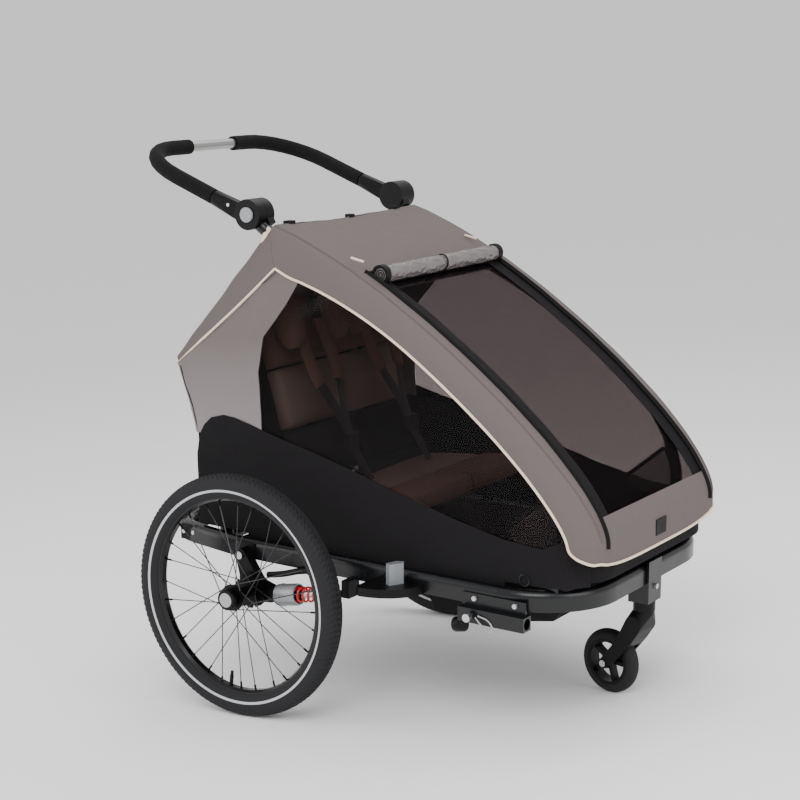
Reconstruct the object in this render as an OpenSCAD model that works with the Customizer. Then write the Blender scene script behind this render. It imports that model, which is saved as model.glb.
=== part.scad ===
// Two-seat child bicycle trailer with a push bar, sprung wheels, a folding
// canopy frame and a swivelling front caster.
// Every module is drawn with the floor frame level: X runs forwards from the
// main axle, Z up from the ground under it. stance() then lowers the nose
// until the caster stands on the same ground as the main wheels.

/* [Body] */
// Width over the fabric sides
body_w = 576; // [540:2:590]
// Front face of the fabric body, ahead of the main axle
nose_x = 742; // [736:1:746]
// Radius of the body's front corners, seen from above
corner_r = 115; // [105:5:120]
// Thickness of the canopy cloth with its coating and seams
cloth = 3; // [2.5:0.1:3.2]

/* [Floor frame] */
// Width over the floor frame's side rails
frame_w = 638; // [628:2:650]
// Front face of the floor frame
frame_front = 728; // [724:1:732]
// Rear face of the floor frame
frame_rear = -290; // [-295:1:-280]
// Width of the rail section
rail_w = 28; // [24:1:28]
// Height of the rail section
rail_h = 40; // [34:1:40]

/* [Main wheels] */
// Radius over the tyre tread
wheel_r = 250; // [240:1:254]
// Distance between the middles of the two main tyres
track = 780; // [770:2:800]
// Width of the tyre section
tyre_w = 46; // [40:1:48]
// Number of spokes in each wheel
spoke_count = 28; // [20:4:36]

/* [Caster] */
// Radius of the caster wheel
caster_r = 66; // [60:1:68]
// Distance the caster axle trails behind its swivel
caster_trail = 78; // [70:1:82]
// Angle the caster is turned at rest
caster_turn = 10; // [0:1:20]

/* [Push bar] */
// Distance from the bar's hinges to the middle of its cross piece
bar_reach = 341; // [300:1:360]
// Angle of the bar above level
bar_angle = 20.6; // [0:0.1:40]
// Outer radius of the bare bar tube
bar_r = 11; // [10:0.5:12]
// Outer radius of the foam grips
grip_r = 16; // [14:0.5:17]

/* [Hidden] */
$fn = 64;

side = body_w / 2;
gap = 0.3;
rail_z = 305;
rail_top = rail_z + rail_h;
rail_out = frame_w / 2;
rail_in = rail_out - rail_w;
rail_corner = 165;
rear_corner_r = 110;
// Where the side rails turn in towards the rear, and how far.
rail_kink_x = -57;
rail_kink = 11;
loose = 1.2;

// Top line of the canopy in side view, from the rear of the roof to the nose.
crest = [[0, 985], [295, 900], [nose_x + 6, 550], [nose_x, 430]];
canopy_low = 388;
crest_steps = 24;
// Rear outline of the cloth body in side view, top to bottom.
rear_top = [0, 985];
rear_corner = [-240, 700];
rear_low = [[-205, 600], [-186, 500], [-180, 350]];
piping_drop = 48;
piping_top = [28, 902];
piping_rear = [-240, 688];

// Canopy frame pivot, back frame pivot, push bar hinge, suspension pivot.
fold_pivot = [655, 372];
back_pivot = [-140, 372];
bar_hinge = [-49, 1005];
arm_pivot = [-31, 318];
brake_pivot = [-240, 288];
swivel_x = 712;
caster_axle_z = 119;

caster_x = swivel_x - caster_trail * cos(caster_turn);
caster_drop = wheel_r - caster_axle_z;
nose_down = asin((wheel_r - caster_r) / norm([caster_x, caster_drop]))
  - atan2(caster_drop, caster_x);
// The middle of the whole trailer, front to back, once it stands.
centre_x = 218.5;

function bez(p, t) = pow(1 - t, 3) * p[0] + 3 * pow(1 - t, 2) * t * p[1]
  + 3 * (1 - t) * t * t * p[2] + pow(t, 3) * p[3];
function bez_dir(p, t) = 3 * pow(1 - t, 2) * (p[1] - p[0])
  + 6 * (1 - t) * t * (p[2] - p[1]) + 3 * t * t * (p[3] - p[2]);
function unit(v) = v / norm(v);
// A point of the crest line moved in by d, square to the line.
function crest_at(t, d = 0) = let (v = unit(bez_dir(crest, t)))
  bez(crest, t) + d * [v[1], -v[0]];
function crest_line(d, t0 = 0, t1 = 1) = [
  for (i = [0:crest_steps]) crest_at(t0 + (t1 - t0) * i / crest_steps, d)
];
function reversed(list) = [for (i = [len(list) - 1:-1:0]) list[i]];

// Rings of a swept tube; ref is a direction square to the whole path.
function tangent(path, i) = unit(
  path[min(i + 1, len(path) - 1)] - path[max(i - 1, 0)]);
function ring(path, i, r, sides, ref) = let (
  t = tangent(path, i), u = unit(cross(ref, t)), w = cross(t, u))
  [for (k = [0:sides - 1]) path[i] + r * (cos(360 * k / sides) * u
    + sin(360 * k / sides) * w)];

module sweep(path, r, sides = 12, ref = [0, 1, 0]) {
  n = len(path);
  polyhedron(
    points = [for (i = [0:n - 1]) each ring(path, i, r, sides, ref)],
    faces = concat(
      [[for (k = [0:sides - 1]) k]],
      [for (i = [0:n - 2], k = [0:sides - 1]) [
        i * sides + k, (i + 1) * sides + k,
        (i + 1) * sides + (k + 1) % sides, i * sides + (k + 1) % sides]],
      [[for (k = [sides - 1:-1:0]) (n - 1) * sides + k]]
    ));
}

module stance() {
  translate([-centre_x, 0, wheel_r])
    rotate([0, nose_down, 0])
      translate([0, 0, -wheel_r]) children();
}

module both_sides() {
  children();
  mirror([0, 1, 0]) children();
}

// Extrudes an outline drawn in X and Z from y0 to y1.
module side_extrude(y0, y1) {
  translate([0, y1, 0]) rotate([90, 0, 0]) linear_extrude(y1 - y0) children();
}

// A round bar along Y.
module bar_y(x, z, r, y0, y1) {
  translate([x, y0, z]) rotate([-90, 0, 0]) cylinder(r = r, h = y1 - y0);
}

module block(from, to) {
  translate(from) cube(to - from);
}

// ---------- canopy hood ----------

// The canopy's section across: flat over the roof and rounded down to the
// piping on each side. flat is the half-width that is flat, drop the depth.
function hood_side(flat, drop, d) = [for (a = [90:-15:0])
  [-flat - (side - d - flat) * sin(a), d + (drop - d) * (1 - cos(a))]];
function mirrored(list) = [for (i = [len(list) - 1:-1:0]) [-list[i][0], list[i][1]]];
function hood_ring(flat, drop) = let (
  outer = hood_side(flat, drop, 0), inner = hood_side(flat, drop, cloth))
  concat(inner, mirrored(inner), reversed(concat(outer, mirrored(outer))));

// rows holds [point, inward normal, flat, drop] along the side view.
module hood(rows) {
  rings = [for (row = rows) [for (q = hood_ring(row[2], row[3]))
    [row[0][0] + q[1] * row[1][0], q[0], row[0][1] + q[1] * row[1][1]]]];
  count = len(rings[0]);
  last = len(rows) - 1;
  // The two open ends are closed by strips from the outer line to the inner.
  half = count / 2;
  polyhedron(
    points = [for (r = rings) each r],
    faces = concat(
      [for (k = [0:half - 2]) [k, k + 1, count - 2 - k, count - 1 - k]],
      [for (i = [0:last - 1], k = [0:count - 1]) [
        i * count + k, (i + 1) * count + k,
        (i + 1) * count + (k + 1) % count, i * count + (k + 1) % count]],
      [for (k = [0:half - 2]) [
        last * count + count - 1 - k, last * count + count - 2 - k,
        last * count + k + 1, last * count + k]]
    ));
}

roof_flat = 250;
nose_flat = 232;
ridge_normal = unit([0.291, -0.957]);
rear_normal = unit([0.765, -0.644]);
// The section leans forwards at the ridge and is square to the crest from 0.12 on.
function inward(t) = let (v = unit(bez_dir(crest, t)), k = min(1, t / 0.12))
  unit((1 - k) * ridge_normal + k * [v[1], -v[0]]);
function drop_at(t) = piping_drop + 38 * pow(max(0, 1 - t / 0.35), 1.5);
function flat_at(t) = roof_flat - (roof_flat - nose_flat) * max(0, t - 0.65) / 0.35;

// ---------- cloth body ----------

module side_outline(d) {
  polygon(concat(
    crest_line(d),
    [[nose_x - d, 350 + d], [rear_low[2][0] + d, 350 + d]],
    [rear_low[1] + [d, 0], rear_low[0] + [d, 0], rear_corner + [1.15 * d, 0]]
  ));
}

module plan_outline(d) {
  r = corner_r - d;
  hull_x = nose_x - corner_r;
  hull_y = side - corner_r;
  union() {
    translate([-400, -side + d]) square([hull_x + 400, 2 * (side - d)]);
    translate([hull_x, -hull_y]) square([corner_r - d, 2 * hull_y]);
    for (s = [-1, 1]) translate([hull_x, s * hull_y]) circle(r);
  }
}

// The closed body that the cloth wraps, moved in by d.
module cloth_body(d) {
  intersection() {
    side_extrude(-400, 400) side_outline(d);
    translate([0, 0, 300 - 20 * d]) linear_extrude(800 + 20 * d) plan_outline(d);
  }
}

// One layer of cloth, its outer face moved in by d.
module cloth_layer(d = 0) {
  difference() {
    cloth_body(d);
    cloth_body(d + cloth);
  }
}

module mesh_opening(grow = 0) {
  block([199 - grow, -225 - grow, 482 - grow], [900, 225 + grow, 1000]);
}

module canopy() {
  rows = concat(
    [for (i = [0:crest_steps]) let (t = i / crest_steps)
      [bez(crest, t), inward(t), flat_at(t), drop_at(t)]],
    [[[nose_x, canopy_low], [-1, 0], nose_flat, piping_drop]]);
  color("#857b7a") difference() {
    hood(rows);
    mesh_opening();
    // The lower edge sweeps up round the front corners to meet the sides.
    both_sides() side_extrude(-400, -200) polygon([[600, 300], [620, 505],
      [643, 483], [682, 441], [709, 417], [732, 404], [780, 398], [780, 300]]);
  }
}

module front_mesh() {
  color("#2b2729") intersection() {
    difference() {
      cloth_body(cloth + gap);
      cloth_body(cloth + gap + 2);
    }
    mesh_opening(5);
  }
}

// The rear of the canopy, from the roof's rear edge down to the bag corner.
module rear_panel() {
  start = crest[0] + [-gap, -gap];
  color("#857b7a") hood(concat(
    [[start, ridge_normal, roof_flat, drop_at(0)]],
    [for (k = [0.16, 0.4, 0.7, 1])
      [start + k * (rear_corner - start), rear_normal,
        roof_flat + 26 * k, 78 - 66 * k]]));
}

// The side wall of one cloth layer, cut to an outline in side view.
module side_region(inset) {
  intersection() {
    cloth_layer(inset);
    side_extrude(-400, -side + 8.7) children();
  }
}

module window_outline() {
  polygon(concat(
    [[-14, 545], [-22, 690], [-8, 762], [50, 831], [84, 884]],
    [for (t = [0.2:0.05:0.9]) crest_at(t, drop_at(t) - 5)],
    [[nose_x - 64, 430], [nose_x - 64, 385], [560, 400], [188, 500]]
  ));
}

module side_window() {
  color("#201c1e") side_region(cloth + loose) window_outline();
}

module side_window_right() {
  side_window();
}

module side_window_left() {
  mirror([0, 1, 0]) side_window();
}

module quarter_panel() {
  color("#8d8483") side_region(cloth + loose)
    polygon([[-14.6, 546], [-22.6, 690], [-8.6, 762], [49.4, 831], [83, 884],
      [30, 902], [-231, 687], [-225, 660], [-190, 540]]);
}

module quarter_panel_right() {
  quarter_panel();
}

module quarter_panel_left() {
  mirror([0, 1, 0]) quarter_panel();
}

module skirt_outline() {
  polygon([[-200, 352], [-190, 500], [-178, 543], [-147, 581], [-115, 590],
    [-86, 588], [-14, 570], [119, 540], [188, 522], [400, 470], [600, 418],
    [nose_x - 60, 396], [nose_x - 60, 352]]);
}

module side_skirt() {
  color("#1c1a1c") {
    side_region(0) skirt_outline();
    // The hem tucks in behind the straight part of the side rail.
    block([rail_kink_x + 5, -side, 334], [front_bend_x - 5, -side + cloth, 353]);
  }
}

module side_skirt_right() {
  side_skirt();
}

module side_skirt_left() {
  mirror([0, 1, 0]) side_skirt();
}

module rear_skirt() {
  color("#1c1a1c") intersection() {
    cloth_layer();
    block([-400, -side + 9, 352], [-165, side - 9, 690]);
  }
}

module front_skirt() {
  color("#1c1a1c") intersection() {
    cloth_layer(8);
    block([nose_x - 59.7, -400, 352], [nose_x + 10, 400, 387.5]);
  }
}

// ---------- floor frame ----------

module rail_section() {
  translate([-rail_w / 2, 0]) square([rail_w, rail_h - rail_w / 2]);
  translate([0, rail_h - rail_w / 2]) circle(rail_w / 2);
}

rail_mid = rail_out - rail_w / 2;
bend_r = rail_corner - rail_w / 2;
front_bend_x = frame_front - rail_corner;

module side_rails() {
  color("#232225") both_sides()
    translate([rail_kink_x, -rail_mid, rail_z]) rotate([90, 0, 90])
      linear_extrude(front_bend_x - rail_kink_x - gap) rail_section();
}

module front_rail() {
  half = rail_mid - bend_r;
  color("#232225") {
    translate([frame_front - rail_w / 2, half, rail_z]) rotate([90, 0, 0])
      linear_extrude(2 * half) rail_section();
    for (s = [0, 1]) translate([front_bend_x, s == 0 ? half : -half, rail_z])
      rotate(s == 0 ? 0 : -90)
        rotate_extrude(angle = 90) translate([bend_r, 0]) rail_section();
    // Ears that carry the canopy frame's pivot pins.
    both_sides() difference() {
      block([641, -277, 325], [669, -272.8, fold_pivot[1] + 14]);
      bar_y(fold_pivot[0], fold_pivot[1], 6.06, -290, -270);
    }
  }
}

// Half of the rail's outline, then the whole section for the swept rear rail.
function rail_ring() = concat(
  [[rail_w / 2, 0], [rail_w / 2, rail_h - rail_w / 2]],
  [for (a = [30:30:150]) [rail_w / 2 * cos(a), rail_h - rail_w / 2 + rail_w / 2 * sin(a)]],
  [[-rail_w / 2, rail_h - rail_w / 2], [-rail_w / 2, 0]]);

// Middle line of the rear rail: angled in, round the corner, then across.
rear_r = rear_corner_r - rail_w / 2;
rear_mid_x = frame_rear + rail_w / 2;
rear_arc_x = rear_mid_x + rear_r;
function rear_y(x) = rail_mid - (rail_kink_x - x) * tan(rail_kink);
rear_arc_y = rear_y(rear_arc_x - rear_r * sin(rail_kink)) - rear_r * cos(rail_kink);
function rear_half() = concat(
  [[rail_kink_x - gap, rail_mid], [rail_kink_x - gap - 4, rail_mid]],
  [for (a = [rail_kink:(90 - rail_kink) / 7:90.1])
    [rear_arc_x - rear_r * sin(a), rear_arc_y + rear_r * cos(a)]]);
function rear_path() = let (h = rear_half())
  concat(h, [for (p = reversed(h)) [p[0], -p[1]]]);

module rear_rail() {
  path = rear_path();
  section = reversed(rail_ring());
  n = len(path);
  m = len(section);
  color("#232225") polyhedron(
    points = [for (i = [0:n - 1]) let (
        t = unit(path[min(i + 1, n - 1)] - path[max(i - 1, 0)]))
      each [for (q = section) [path[i][0] + q[0] * t[1], path[i][1] - q[0] * t[0], rail_z + q[1]]]],
    faces = concat(
      [[for (k = [0:m - 1]) k]],
      [for (i = [0:n - 2], k = [0:m - 1]) [
        i * m + k, (i + 1) * m + k, (i + 1) * m + (k + 1) % m, i * m + (k + 1) % m]],
      [[for (k = [m - 1:-1:0]) (n - 1) * m + k]]
    ));
  // Hangers for the brake pedal's bar.
  color("#232225") both_sides() difference() {
    block([frame_rear + rail_w - 4, -122, 278], [-230, -116, 318]);
    bar_y(brake_pivot[0], brake_pivot[1], 7.1, -130, -110);
  }
}

module cross_tubes() {
  color("#232225") {
    for (x = [-20, 150, 335])
      bar_y(x, rail_z + 9, 7.5, -rail_in + 0.2, rail_in - 0.2);
    bar_y(back_pivot[0], rail_z + 14, 10, -262, 262);
    both_sides() difference() {
      hull() {
        bar_y(back_pivot[0], back_pivot[1], 14, -249.5, -243.5);
        bar_y(back_pivot[0], rail_z + 14, 12, -249.5, -243.5);
      }
      bar_y(back_pivot[0], back_pivot[1], 5, -250, -235);
    }
  }
}

module floor_panel() {
  color("#1c1a1c") block([-98, -side + 9, 322.8], [341.5, side - 9, 326]);
}

module footwell_shape(d) {
  hull() {
    block([342 + d, -255 + d, 320], [636 - d, 255 - d, 325 + d]);
    block([342 + d, -226 + d, 320], [670 - d, 226 - d, 325 + d]);
    block([375 + d, -240 + d, 250 + d], [520, 240 - d, 251 + d]);
    block([500, -240 + d, 272 + d], [640 - d, 240 - d, 273 + d]);
  }
}

module footwell_bag() {
  color("#1c1a1c") difference() {
    footwell_shape(0);
    footwell_shape(3);
  }
}

// Flat guards that keep posts away from the front of the wheels.
guard_x = 295;
guard_long = 105;
guard_wide = 86;

module wheel_guards() {
  color("#1f1f22") both_sides() translate([guard_x, -rail_out - gap, rail_z + 1])
    linear_extrude(17) polygon(concat([[0, 0], [0, -guard_wide + 8]],
      [for (a = [84:-6:0]) [guard_long * cos(a), -guard_wide * sin(a)]]));
}

module reflectors() {
  color("#d9dcdf") both_sides() translate([0, 0, rail_z + 18.3]) linear_extrude(42)
    polygon([[338, -358], [350, -364], [364, -336], [360, -328], [346, -334]]);
}

module d_rings() {
  color("#2a2a2c") both_sides() translate([604, -side - 1.6, rail_top + 14])
    rotate([90, 0, 0]) rotate_extrude($fn = 32) translate([11, 0]) circle(1.5, $fn = 8);
}

// The plate bolted to the right rail and the square socket under it.
receiver_x = [489, 632];
socket_half = 14;
socket_r = 11;
socket_z = 288;
socket_y = -326;
pin_x = 518;

module tow_receiver() {
  color("#26262a") difference() {
    union() {
      block([receiver_x[0], -rail_out - 4, socket_z],
        [receiver_x[1] - 5, -rail_out - gap, rail_z + 22]);
      block([receiver_x[0], socket_y - socket_half, socket_z - socket_half],
        [receiver_x[1], socket_y + socket_half, socket_z + socket_half]);
    }
    // The tow bar's end goes in from the front and stops short of the cross pin.
    translate([pin_x + 12, socket_y, socket_z]) rotate([0, 90, 0])
      cylinder(r = socket_r, h = 200);
    bar_y(pin_x, socket_z, 4.1, -400, -280);
    for (x = [517, 605]) bar_y(x, rail_z + 13, 3.2, -400, -300);
  }
}

module retaining_pin() {
  color("#c9cacc") {
    bar_y(pin_x, socket_z, 4, -350, socket_y + 20);
    bar_y(pin_x, socket_z, 8, -358, -350);
  }
}

module frame_bolts() {
  color("#3a3a3d") {
    for (x = [517, 605]) {
      bar_y(x, rail_z + 13, 3, -rail_out - 4, -rail_out - gap);
      bar_y(x, rail_z + 13, 5, -rail_out - 6.5, -rail_out - 4);
    }
    both_sides() {
      bar_y(fold_pivot[0], fold_pivot[1], 6, -277, -246);
      bar_y(back_pivot[0], back_pivot[1], 4.95, -249.4, -221);
      bar_y(arm_pivot[0], arm_pivot[1], 5, -345, -322.4);
      bar_y(arm_pivot[0], arm_pivot[1], 8, -349, -345);
    }
    translate([734.2, 0, 296]) rotate([0, 90, 0]) cylinder(r = 6, h = 5, $fn = 6);
  }
}

module caster_bracket() {
  color("#232225") difference() {
    block([690, -28, 264], [734, 28, 350]);
    block([frame_front - rail_w - gap, -40, rail_z - gap], [frame_front + gap, 40, rail_top + gap]);
    translate([swivel_x, 0, 255]) cylinder(r = 10.05, h = 36);
  }
}

// ---------- suspension ----------

module suspension_brackets() {
  color("#1d1d20") both_sides() {
    // Hanger plate for the swing arm, bolted to the outside of the rail.
    difference() {
      block([-52, -322, rail_z - 3], [-12, -rail_out - gap, rail_z + 34]);
      bar_y(arm_pivot[0], arm_pivot[1], 5.05, -330, -310);
    }
    // Block that takes the front end of the damper.
    block([218, -338, 270], [236, -302, rail_z - gap]);
  }
}

module damper_rods() {
  color("#1a1a1c") both_sides() translate([216.5, -332, 276.5])
    rotate([0, -101, 0]) cylinder(r = 7, h = 96);
}

module swing_arm() {
  y0 = -344;
  y1 = -323;
  color("#1b1b1e") difference() {
    union() {
      hull() {
        bar_y(arm_pivot[0], arm_pivot[1], 13, y0, y1);
        bar_y(0, wheel_r, 26, y0, y1);
      }
      hull() {
        bar_y(0, wheel_r, 24, y0, y1);
        bar_y(44, wheel_r - 4, 16, y0, y1);
      }
    }
    bar_y(arm_pivot[0], arm_pivot[1], 5.05, y0 - 1, y1 + 1);
    bar_y(0, wheel_r, 8.05, y0 - 1, y1 + 1);
  }
  // Grey cup that the spring seats in.
  color("#9a9c9f") translate([60, -332, wheel_r - 4]) rotate([0, 79, 0]) difference() {
    cylinder(r = 21, h = 50);
    translate([0, 0, 6]) cylinder(r = 18.5, h = 50);
  }
}

module swing_arm_right() {
  swing_arm();
}

module swing_arm_left() {
  mirror([0, 1, 0]) swing_arm();
}

// Helical spring from the cup to the front block.
spring_turns = 9;
spring_r = 15;
wire_r = 2;
spring_len = 142;

module damper_spring() {
  steps = spring_turns * 12;
  path = [for (i = [0:steps]) [spring_r * cos(30 * i), spring_r * sin(30 * i),
    spring_len * i / steps]];
  color("#c8202a") translate([69, -332, wheel_r - 2.2]) rotate([0, 79, 0])
    translate([0, 0, 3]) sweep(path, wire_r, 6, [0, 0, 1]);
}

module spring_right() {
  damper_spring();
}

module spring_left() {
  mirror([0, 1, 0]) damper_spring();
}

// ---------- main wheels ----------

module at_wheel() {
  translate([0, -track / 2, wheel_r]) rotate([90, 0, 0]) children();
}

rim_out = wheel_r - 37;
rim_in = wheel_r - 54;

module tyre() {
  color("#2a2a2c") at_wheel() rotate_extrude($fn = 96) difference() {
    translate([wheel_r - tyre_w / 2, 0]) circle(tyre_w / 2, $fn = 40);
    translate([0, -tyre_w]) square([rim_out, 2 * tyre_w]);
  }
}

module rim() {
  color("#1b1b1d") at_wheel() rotate_extrude($fn = 96)
    polygon([[rim_in, -6], [rim_in + 4, -12], [rim_out - 0.2, -13],
      [rim_out - 0.2, 13], [rim_in + 4, 12], [rim_in, 6]]);
}

module spokes() {
  flange_r = 24;
  flange_y = 20;
  lean = 28;
  color("#7d8083") at_wheel() for (i = [0:spoke_count - 1]) {
    s = i % 2 == 0 ? 1 : -1;
    a = 360 * i / spoke_count;
    from = [flange_r * cos(a + s * lean), flange_r * sin(a + s * lean), s * flange_y];
    to = [(rim_in - 0.2) * cos(a), (rim_in - 0.2) * sin(a), s * 2];
    d = to - from;
    translate(from + 0.04 * d)
      rotate([0, acos(d[2] / norm(d)), atan2(d[1], d[0])])
        cylinder(r = 1, h = norm(d) * 0.955, $fn = 6);
  }
}

module hub() {
  color("#222224") at_wheel() {
    cylinder(r = 13, h = 60, center = true);
    for (s = [-1, 1]) translate([0, 0, s * 20 - 1.5]) cylinder(r = 27, h = 3);
    translate([0, 0, 30]) cylinder(r = 19, h = 9);
    translate([0, 0, 39]) cylinder(r = 13, h = 3);
    translate([0, 0, -42]) cylinder(r = 13, h = 14);
    translate([0, 0, -68]) cylinder(r = 8, h = 40);
  }
}

module brake_disc() {
  color("#151517") at_wheel() translate([0, 0, -40]) difference() {
    cylinder(r = 36, h = 5);
    translate([0, 0, -1]) cylinder(r = 13.2, h = 7);
    for (i = [0:9]) rotate(36 * i) translate([36, 0, -1]) cylinder(r = 5, h = 7, $fn = 24);
  }
}

module tyre_right() {
  tyre();
}

module tyre_left() {
  mirror([0, 1, 0]) tyre();
}

module rim_right() {
  rim();
}

module rim_left() {
  mirror([0, 1, 0]) rim();
}

module spokes_right() {
  spokes();
}

module spokes_left() {
  mirror([0, 1, 0]) spokes();
}

module hub_right() {
  hub();
}

module hub_left() {
  mirror([0, 1, 0]) hub();
}

module brake_disc_right() {
  brake_disc();
}

module brake_disc_left() {
  mirror([0, 1, 0]) brake_disc();
}

// ---------- caster ----------

module at_swivel() {
  translate([swivel_x, 0, 0]) rotate([0, 0, -caster_turn]) children();
}

// Side line of the fork's legs: X from the swivel, Z, and half the leg's width.
fork_line = [[-9, 213, 19], [-24, 187, 17], [-48, 152, 14],
  [-caster_trail, caster_axle_z, 11]];

module fork_round(p) {
  translate([p[0], 0, p[1]]) rotate([90, 0, 0])
    cylinder(r = p[2], h = 52, center = true, $fn = 32);
}

module caster_fork() {
  color("#1b1b1d") at_swivel() {
    translate([0, 0, 262]) cylinder(r = 10, h = 26);
    translate([0, 0, 244]) cylinder(r = 22, h = 18);
    difference() {
      union() {
        hull() {
          translate([0, 0, 236]) cylinder(r = 21, h = 8, $fn = 32);
          fork_round(fork_line[0]);
        }
        for (i = [0:2]) hull() {
          fork_round(fork_line[i]);
          fork_round(fork_line[i + 1]);
        }
      }
      translate([-caster_trail, 0, caster_axle_z]) rotate([90, 0, 0])
        cylinder(r = caster_r + 6, h = 40, center = true, $fn = 96);
      translate([-caster_trail, 0, caster_axle_z]) rotate([90, 0, 0])
        cylinder(r = 4.3, h = 60, center = true);
    }
  }
}

module at_caster_axle() {
  at_swivel() translate([-caster_trail, 0, caster_axle_z]) rotate([90, 0, 0]) children();
}

module caster_axle() {
  color("#c4c5c7") at_caster_axle() {
    cylinder(r = 4, h = 52.6, center = true);
    for (s = [-1, 1]) translate([0, 0, s * 28.3]) cylinder(r = 7, h = 4, center = true);
  }
}

module caster_tyre() {
  color("#1f1f21") at_caster_axle() rotate_extrude($fn = 96) difference() {
    union() {
      translate([caster_r - 14, 0]) circle(14, $fn = 32);
      translate([caster_r - 22, -14]) square([8, 28]);
    }
    translate([0, -20]) square([caster_r - 18, 40]);
  }
}

module caster_hub() {
  rim_r = caster_r - 18.2;
  color("#19191b") at_caster_axle() {
    difference() {
      cylinder(r = rim_r, h = 28, center = true);
      cylinder(r = rim_r - 7, h = 40, center = true);
    }
    for (i = [0:4]) rotate(72 * i) translate([0, 0, 0])
      block([10, -4, -8], [rim_r - 6, 4, 8]);
    difference() {
      cylinder(r = 13, h = 34, center = true);
      cylinder(r = 4.1, h = 60, center = true);
    }
  }
}

// ---------- brake pedal ----------

module brake_pedal() {
  color("#1b1b1d") {
    bar_y(brake_pivot[0], brake_pivot[1], 7, -130, 130);
    block([-302, -45, 282], [brake_pivot[0], 45, 294]);
  }
}

// ---------- canopy frame and back frame ----------

frame_y = 260;
tube_r = 12.5;

function canopy_tube_path(s) = concat(
  [[12, s * 250, 956]],
  [for (t = [0.05:0.06:0.66]) let (p = crest_at(t, 23)) [p[0], s * frame_y, p[1]]],
  [[630, s * frame_y, 540], [650, s * frame_y, 470], [fold_pivot[0], s * frame_y, fold_pivot[1] + 14]]
);

module canopy_frame() {
  color("#232225") {
    for (s = [-1, 1]) {
      difference() {
        union() {
          sweep(canopy_tube_path(s), tube_r, 12);
          bar_y(fold_pivot[0], fold_pivot[1], 16, s * frame_y - 10, s * frame_y + 10);
        }
        bar_y(fold_pivot[0], fold_pivot[1], 6.06, s * frame_y - 20, s * frame_y + 20);
      }
    }
    bar_y(2, 962, 9, -250, 250);
    bar_y(210, 868, 9, -255, 255);
  }
}

back_y = 232;
back_top = [-126, 772];
bag_corner = [-210, 695];

// A straight round tube in a side plane, from p to q in X and Z.
module strut(p, q, r, y) {
  v = q - p;
  translate([p[0], y, p[1]]) rotate([0, atan2(v[0], v[1]), 0]) cylinder(r = r, h = norm(v));
}

module back_frame() {
  color("#232225") {
    for (s = [-1, 1]) {
      difference() {
        union() {
          strut(back_pivot + [0.3, 8], back_top, 10, s * back_y);
          bar_y(back_pivot[0], back_pivot[1], 13, s * back_y - 7, s * back_y + 7);
        }
        bar_y(back_pivot[0], back_pivot[1], 5.02, s * back_y - 20, s * back_y + 20);
      }
      strut([-132, 600], bag_corner, 8, s * back_y);
    }
    bar_y(back_top[0], back_top[1], 10.4, -back_y - 10.4, back_y + 10.4);
    bar_y(bag_corner[0], bag_corner[1], 8.4, -back_y - 8.4, back_y + 8.4);
    bar_y(-137.5, 443, 9, -back_y, back_y);
  }
}

module rain_cover_roll() {
  color("#a7a4a3", 0.6) bar_y(231, 900, 16.4, -222, 222);
}

// ---------- push bar ----------

hub_r = 31;
hub_mid = 256;

module hinge_bases() {
  color("#1b1b1d") both_sides() {
    bar_y(bar_hinge[0], bar_hinge[1], hub_r, -hub_mid + gap, -hub_mid + 25);
    translate([0, -hub_mid + 12, 0]) rotate([90, 0, 0]) linear_extrude(20, center = true)
      polygon([bar_hinge + [0, -14], bar_hinge + [22, 8], [-12, 988], [-34, 974]]);
  }
}

// A point of the push bar: s back along the bar's plane, y across.
bar_drop = 8;
function bar_point(s, y, drop = bar_drop) = [
  bar_hinge[0] - s * cos(bar_angle) - drop * sin(bar_angle), y,
  bar_hinge[1] + s * sin(bar_angle) - drop * cos(bar_angle)];
bar_bend = 130;
arm_y = 260;
function bar_arc(a0, a1, sgn) = [for (i = [0:8]) let (a = a0 + (a1 - a0) * i / 8)
  bar_point(bar_reach - bar_bend + bar_bend * sin(a), sgn * (arm_y - bar_bend + bar_bend * cos(a)))];
bar_normal = [sin(bar_angle), 0, cos(bar_angle)];
bare_half = 75;

module push_bar() {
  p = bar_point(bar_reach, 0);
  color("#b9bbbd") {
    bar_y(p[0], p[2], bar_r, -arm_y + bar_bend, arm_y - bar_bend);
    for (s = [-1, 1])
      sweep(concat([bar_point(60, s * arm_y)], bar_arc(0, 90, s)), bar_r, 12, bar_normal);
  }
}

module grips() {
  for (s = [-1, 1]) color("#19191a") difference() {
    sweep(concat([bar_point(104, s * arm_y)], bar_arc(0, 90, s), [bar_point(bar_reach, s * bare_half)]),
      grip_r, 16, bar_normal);
    sweep(concat([bar_point(100, s * arm_y)], bar_arc(0, 90, s),
      [bar_point(bar_reach, s * (bare_half - 4))]), bar_r + 0.5, 12, bar_normal);
  }
}

module bar_connectors() {
  color("#1b1b1d") both_sides() difference() {
    hull() {
      translate(bar_point(hub_r + 6, -arm_y)) rotate([0, -90 + bar_angle, 0])
        translate([-17, -9, 0]) cube([34, 18, 1]);
      translate(bar_point(98, -arm_y)) rotate([0, -90 + bar_angle, 0]) cylinder(r = grip_r, h = 2, $fn = 32);
    }
    translate(bar_point(59, -arm_y)) rotate([0, -90 + bar_angle, 0]) cylinder(r = bar_r + 0.5, h = 60);
  }
}

module hinge_caps() {
  color("#1b1b1d") both_sides() difference() {
    union() {
      bar_y(bar_hinge[0], bar_hinge[1], hub_r, -hub_mid - 25, -hub_mid - gap);
      translate(bar_point(hub_r - 6, -hub_mid - 11)) rotate([0, -90 + bar_angle, 0])
        translate([-14, -9, 0]) cube([28, 18, 11.6]);
    }
    bar_y(bar_hinge[0], bar_hinge[1], 15.3, -hub_mid - 30, -hub_mid - 12);
  }
}

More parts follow.
